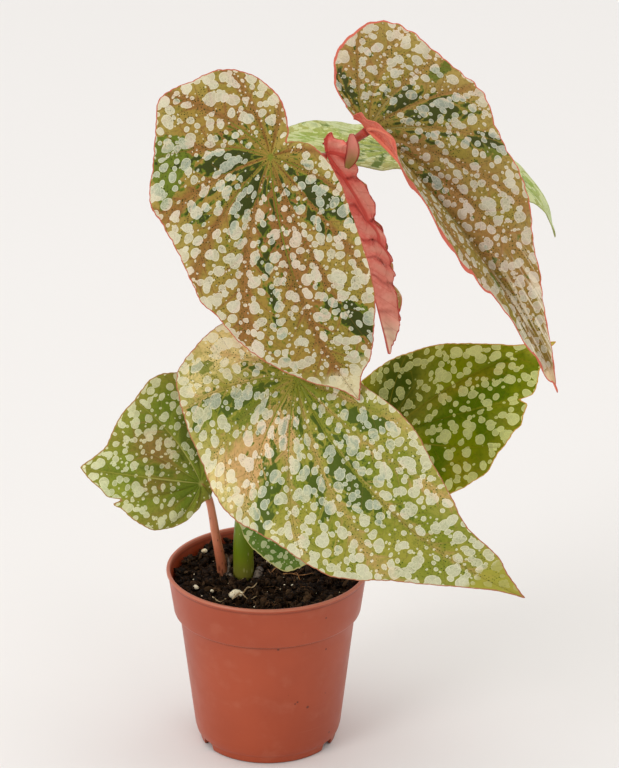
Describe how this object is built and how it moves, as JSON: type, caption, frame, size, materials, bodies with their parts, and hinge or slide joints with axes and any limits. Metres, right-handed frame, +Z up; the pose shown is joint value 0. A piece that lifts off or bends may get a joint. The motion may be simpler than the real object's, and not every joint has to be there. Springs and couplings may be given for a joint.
{
  "type": "potted cane begonia",
  "caption": "Young cane begonia with large spotted angel-wing leaves on bent stalks, standing in soil in a round tapered nursery pot with a deep collar.",
  "frame": {"origin": "middle of the pot's foot, on the surface that it stands on", "axes": "+Z up; -Y towards the viewer of the picture, +X to that viewer's right"},
  "size_m": [0.2434, 0.1971, 0.3825],
  "materials": {
    "pot_plastic": "terracotta-coloured polypropylene, satin",
    "potting_mix": "damp peat crumbs with perlite",
    "cane_skin": "smooth green stem skin",
    "dry_scale": "papery bud scale",
    "red_stalk": "fleshy red stalk, satin",
    "shoot_stalk": "fleshy pink-brown stalk, satin",
    "green_stalk": "fleshy green-brown stalk, satin",
    "olive_blade": "olive leaf with pale spots, satin",
    "brown_blade": "bronze leaf with pale spots, satin",
    "pale_blade": "pale yellow-green leaf with pale spots, satin",
    "green_blade": "green leaf with pale spots, satin",
    "bright_blade": "bright yellow-green leaf with pale streaks, satin",
    "pink_blade": "pink unfolding leaf, satin"
  },
  "bodies": {
    "root": {"pot": "pot_plastic", "soil": "potting_mix", "cane": "cane_skin", "cane_tip": "dry_scale", "stalk_upper_left": "red_stalk", "leaf_upper_left": "olive_blade", "stalk_upper_right": "red_stalk", "leaf_upper_right": "brown_blade", "stalk_front": "red_stalk", "leaf_front": "pale_blade", "stalk_small_left": "shoot_stalk", "leaf_small_left": "green_blade", "stalk_right": "green_stalk", "leaf_right": "green_blade", "stalk_back": "green_stalk", "leaf_back": "bright_blade", "stalk_young": "red_stalk", "leaf_young": "pink_blade", "stalk_low": "green_stalk", "leaf_low": "green_blade"}
  },
  "joints": []
}
